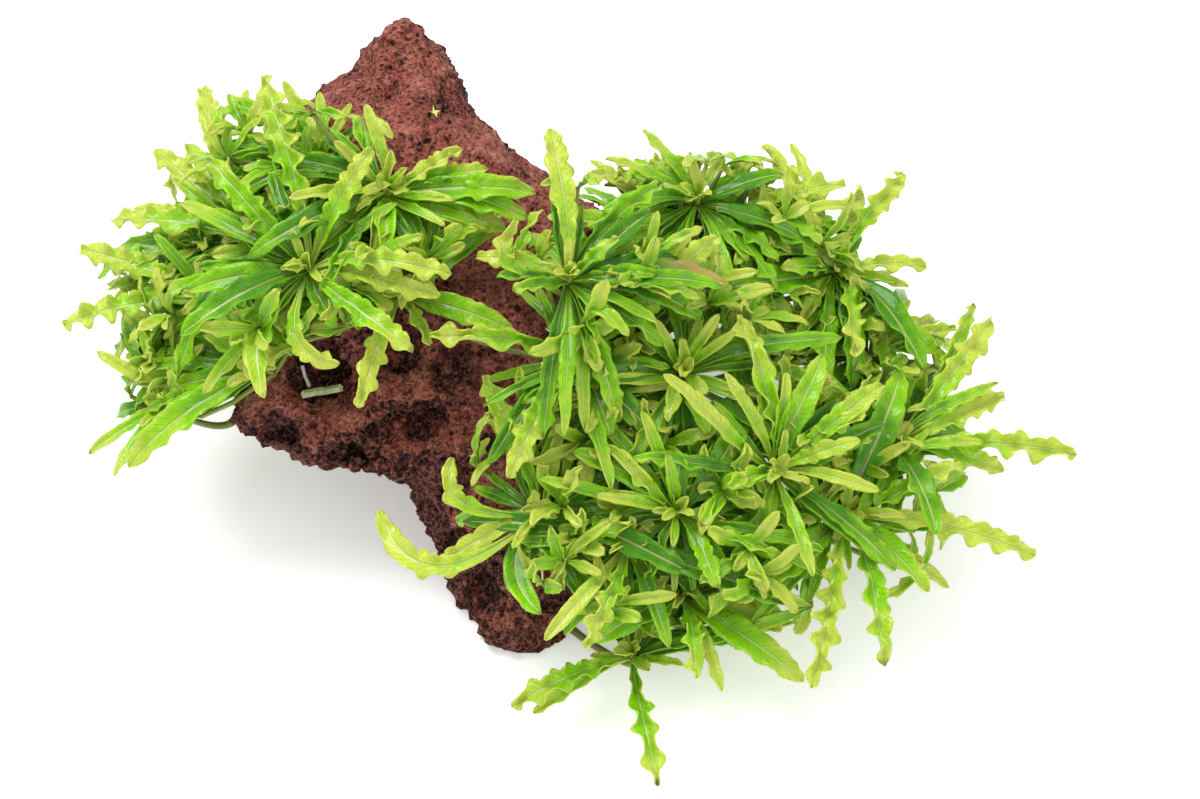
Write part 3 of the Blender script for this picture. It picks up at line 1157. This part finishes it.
def tuft_blades(middle, axis, count, lengths, widths, steepness, chance):
    """Short leaves that stand round the middle of a rosette or a side shoot."""
    found = []
    for leaf in range(count):
        angle = leaf * GOLDEN_ANGLE + chance.uniform(-0.3, 0.3)
        tilt = chance.uniform(*steepness)
        way = spread(axis, angle) * math.cos(tilt) + axis * math.sin(tilt)
        length = lengths[0] + (lengths[1] - lengths[0]) * (leaf + chance.random()) / count
        tip = middle + way * (length * MM)
        lift = way.cross(axis).normalized().cross(way)
        arch = lift * (length * MM * 0.12)
        controls = (middle, middle.lerp(tip, 0.28) + arch, middle.lerp(tip, 0.7) + arch, tip)
        kind = chance.choice((RUFFLED, YOUNG, NARROW))
        found.append(Blade(controls, lift, chance.uniform(*widths) * MM / 2, kind))
    return found


def shoot_middles(cushion, name, plant, chance):
    """Where a plant's side shoots end: in the gaps that the table names, then round its stem."""
    yield from (place(*spot) for spot in GAP_SHOOTS.get(name, ()))
    axis = plant_axis(plant)
    crown = place(*plant.crown)
    for attempt in range(cushion.settings.side_shoots * 5):
        way = spread(axis, attempt * GOLDEN_ANGLE + chance.uniform(-0.4, 0.4))
        middle = crown + way * (chance.uniform(11, 28) * MM) - axis * (chance.uniform(0, 8) * MM)
        near, normal, _, _ = cushion.stone.find_nearest(middle)
        clear = (middle - near).dot(normal) > 3 * MM and middle.z > 5 * MM
        spot = pixel(middle)
        hides = any(math.dist(spot, other.crown[:2]) < 26 for other in PLANTS.values())
        if clear and not hides and inside_outline(spot, outline_of(name)):
            yield middle


def side_shoots(cushion, name, plant, number):
    """Small shoots that branch from the stem between the rosettes: the middle and the leaves of each."""
    chance = random.Random(900 + number)
    axis = plant_axis(plant)
    crown = place(*plant.crown)
    count = cushion.settings.side_shoots + len(GAP_SHOOTS.get(name, ()))
    found = []
    for middle in islice(shoot_middles(cushion, name, plant, chance), count):
        leaning = (axis + (middle - crown).normalized() * chance.uniform(0.1, 0.8)).normalized()
        blades = tuft_blades(middle, leaning, 6, (7, 17), (2.4, 4.4), (0.1, 1.0), chance)
        found.append((middle, [blade for blade in blades if cushion.suits(blade, outline_of(name))]))
    return found


def make_stem(bm, name, plant):
    """A plant's stem, from its foot on the stone to its top, and its route."""
    controls = stem_controls(name, plant)
    path = [curve_point(controls, t / 14) for t in range(15)]
    path.append(controls[3] + plant_axis(plant) * (WHORL_SPACING * WHORLS * 0.9))
    radii = [STEM_SLIMNESS * (STEM_FOOT_RADIUS + (STEM_TOP_RADIUS - STEM_FOOT_RADIUS) * t / 15) for t in range(16)]
    before = set(bm.verts)
    tube(bm, path, radii, 10, 1)
    along = bm.verts.layers.float["along"]
    for vert in bm.verts:
        if vert not in before:
            vert[along] = min(1, (vert.co - path[0]).length / (path[-1] - path[0]).length)
    return controls


def make_plant(cushion, name, plant, number):
    """One plant: its stem, the leaves that show, its lower leaves, its heart and its side shoots."""
    bm = bmesh.new()
    for layer in ("along", "across", "age", "tone", "under"):
        bm.verts.layers.float.new(layer)
    thickness = cushion.settings.thickness
    seeds = iter(range(1000 * number, 1000 * number + 999))
    for blade in cushion.blades[name]:
        if blade.kind is ROOT:
            path = [curve_point(blade.controls, t / 12) for t in range(13)]
            tube(bm, path, [blade.half_width * 0.8] * 13, 8, 2)
            continue
        rows = 60 if blade.kind is RUFFLED else 28
        inside = inside_outline(pixel(blade.controls[3]), outline_of(name))
        age = blade.kind.age if inside else blade.kind.age - 0.14
        make_leaf(bm, blade, rows, 6, next(seeds), age, thickness)
    living = set(bm.faces)
    for kind, tip in WITHERED.get(name, ()):
        blade = plan_blade(plant, kind, place(*tip), None, cushion.stone)
        make_leaf(bm, blade, 28, 6, next(seeds), 1, thickness)
    for face in bm.faces:
        if face not in living:
            face.material_index = 3
    for blade in filler_blades(cushion, name, plant, number):
        make_leaf(bm, blade, 16, 4, next(seeds), min(1, blade.kind.age + 0.25), thickness)
    axis = plant_axis(plant)
    crown = place(*plant.crown)
    chance = random.Random(500 + number)
    count = cushion.settings.heart_leaves
    for blade in tuft_blades(crown - axis * (2 * MM), axis, count, (6, 13), (2.0, 3.4), (0.5, 1.3), chance):
        make_leaf(bm, blade, 12, 4, next(seeds), 0.3, thickness * 0.8)
    controls = make_stem(bm, name, plant)
    along = bm.verts.layers.float["along"]
    for middle, blades in side_shoots(cushion, name, plant, number):
        start = curve_point(controls, 0.85)
        bend = start.lerp(middle, 0.6) - axis * (2 * MM)
        before = set(bm.verts)
        tube(bm, [start, start.lerp(bend, 0.6), bend, middle], [0.8 * MM, 0.75 * MM, 0.7 * MM, 0.6 * MM], 7, 1)
        for vert in bm.verts:
            if vert not in before:
                vert[along] = 0.8
        for blade in blades:
            make_leaf(bm, blade, 12, 4, next(seeds), blade.kind.age - 0.1, thickness * 0.85)
    mesh = bpy.data.meshes.new(name + "_leaves")
    bm.to_mesh(mesh)
    bm.free()
    finish_piece(name + "_leaves", mesh, plant_materials(cushion.settings), "leaf_green", name)


def make_cushion(context, side):
    """All the plants whose names begin with the side's."""
    cushion = Cushion(context.scene.downoi_leaves)
    for number, (name, plant) in enumerate(PLANTS.items()):
        if name.startswith(side):
            make_plant(cushion, name, plant, number)


class DOWNOI_OT_left_cushion(bpy.types.Operator):
    """Makes the plants on the stone's left lobe"""

    bl_idname = "downoi.left_cushion"
    bl_label = "Left Cushion"

    def execute(self, context):
        """Makes every plant of the left cushion."""
        make_cushion(context, "plant_left")
        return {"FINISHED"}


class DOWNOI_OT_right_cushion(bpy.types.Operator):
    """Makes the plants on the stone's right side"""

    bl_idname = "downoi.right_cushion"
    bl_label = "Right Cushion"

    def execute(self, context):
        """Makes every plant of the right cushion."""
        make_cushion(context, "plant_right")
        return {"FINISHED"}


# The small pieces on the stone

class DOWNOI_OT_small_pieces(bpy.types.Operator):
    """Finishes the cut stem, the loose root and the seedling"""

    bl_idname = "downoi.small_pieces"
    bl_label = "Small Pieces"

    def execute(self, context):
        """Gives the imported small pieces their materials."""
        settings = context.scene.downoi_leaves
        leaf, _, root, _ = plant_materials(settings)
        cut = cut_stem_material(settings)
        for name, material in (("cut_stem", cut), ("loose_root", root), ("seedling", leaf)):
            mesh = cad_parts[name].data
            mesh.materials.clear()
            mesh.materials.append(material)
        return {"FINISHED"}


# The stage

class DOWNOI_OT_stage(bpy.types.Operator):
    """Sets up the floor, the lights and the camera"""

    bl_idname = "downoi.stage"
    bl_label = "Stage"

    def execute(self, context):
        """Makes a white floor, two soft lights, a white surround and the camera."""
        scene, settings = context.scene, context.scene.downoi_stage
        bm = bmesh.new()
        bmesh.ops.create_grid(bm, x_segments=1, y_segments=1, size=3)
        mesh = bpy.data.meshes.new("floor")
        bm.to_mesh(mesh)
        bm.free()
        floor = bpy.data.objects.new("floor", mesh)
        material, tree = new_material("white_paper_sweep")
        shader = add(tree, "ShaderNodeBsdfPrincipled", {
            "Base Color": (*settings.floor, 1), "Roughness": 0.7, "Specular IOR Level": 0.2,
            "Emission Color": (1, 1, 1, 1), "Emission Strength": settings.glow})
        add(tree, "ShaderNodeOutputMaterial", {"Surface": shader.outputs[0]})
        mesh.materials.append(material)
        scene.collection.objects.link(floor)
        target = Vector((0.02, 0, 0.04))
        for name, where, width, power in (
                ("key", Vector((-0.5, 0.35, 1.3)), 0.9, settings.key_power),
                ("fill", Vector((0.9, -0.9, 1.0)), 1.2, settings.fill_power)):
            lamp = bpy.data.lights.new(name, "AREA")
            lamp.shape = "DISK"
            lamp.size = width
            lamp.energy = power
            holder = bpy.data.objects.new(name, lamp)
            holder.location = where
            holder.rotation_euler = (target - where).to_track_quat("-Z", "Y").to_euler()
            scene.collection.objects.link(holder)
        world = bpy.data.worlds.new("white_surround")
        world.use_nodes = True
        background = world.node_tree.nodes["Background"]
        background.inputs["Color"].default_value = (1, 1, 1, 1)
        background.inputs["Strength"].default_value = settings.surround
        scene.world = world
        scene.view_settings.view_transform = "Standard"
        lens = bpy.data.cameras.new("camera")
        lens.sensor_width = SENSOR_WIDTH
        lens.lens = SENSOR_WIDTH * PIXELS_PER_RADIAN / PHOTO_WIDTH
        lens.clip_start = 0.05
        camera = bpy.data.objects.new("camera", lens)
        camera.location = eye()
        camera.rotation_euler = (math.pi / 2 - VIEW_ELEVATION, 0, 0)
        scene.collection.objects.link(camera)
        scene.camera = camera
        return {"FINISHED"}


class DOWNOI_PT_panel(bpy.types.Panel):
    """Lists the settings and the steps of the object"""

    bl_idname = "DOWNOI_PT_panel"
    bl_label = "Downoi on Lava Stone"
    bl_space_type = "VIEW_3D"
    bl_region_type = "UI"
    bl_category = "Downoi"

    def draw(self, context):
        """Draws each group of settings above its operators."""
        for settings, operators in (
                (context.scene.downoi_stone, (DOWNOI_OT_lava_stone,)),
                (context.scene.downoi_leaves, (
                    DOWNOI_OT_left_cushion, DOWNOI_OT_right_cushion, DOWNOI_OT_small_pieces)),
                (context.scene.downoi_stage, (DOWNOI_OT_stage,))):
            box = self.layout.box()
            for name in settings.__annotations__:
                box.prop(settings, name)
            for operator in operators:
                box.operator(operator.bl_idname)


CLASSES = (
    StoneSettings,
    LeafSettings,
    StageSettings,
    DOWNOI_OT_lava_stone,
    DOWNOI_OT_left_cushion,
    DOWNOI_OT_right_cushion,
    DOWNOI_OT_small_pieces,
    DOWNOI_OT_stage,
    DOWNOI_PT_panel,
)


def register():
    """Registers the classes and gives the scene its settings."""
    for each in CLASSES:
        bpy.utils.register_class(each)
    bpy.types.Scene.downoi_stone = PointerProperty(type=StoneSettings)
    bpy.types.Scene.downoi_leaves = PointerProperty(type=LeafSettings)
    bpy.types.Scene.downoi_stage = PointerProperty(type=StageSettings)


def unregister():
    """Takes the settings and the classes away again."""
    del bpy.types.Scene.downoi_stage
    del bpy.types.Scene.downoi_leaves
    del bpy.types.Scene.downoi_stone
    for each in reversed(CLASSES):
        bpy.utils.unregister_class(each)


def main():
    """Makes every piece in order."""
    register()
    bpy.ops.downoi.stage()
    bpy.ops.downoi.lava_stone()
    bpy.ops.downoi.left_cushion()
    bpy.ops.downoi.right_cushion()
    bpy.ops.downoi.small_pieces()


if __name__ == "__main__":
    main()
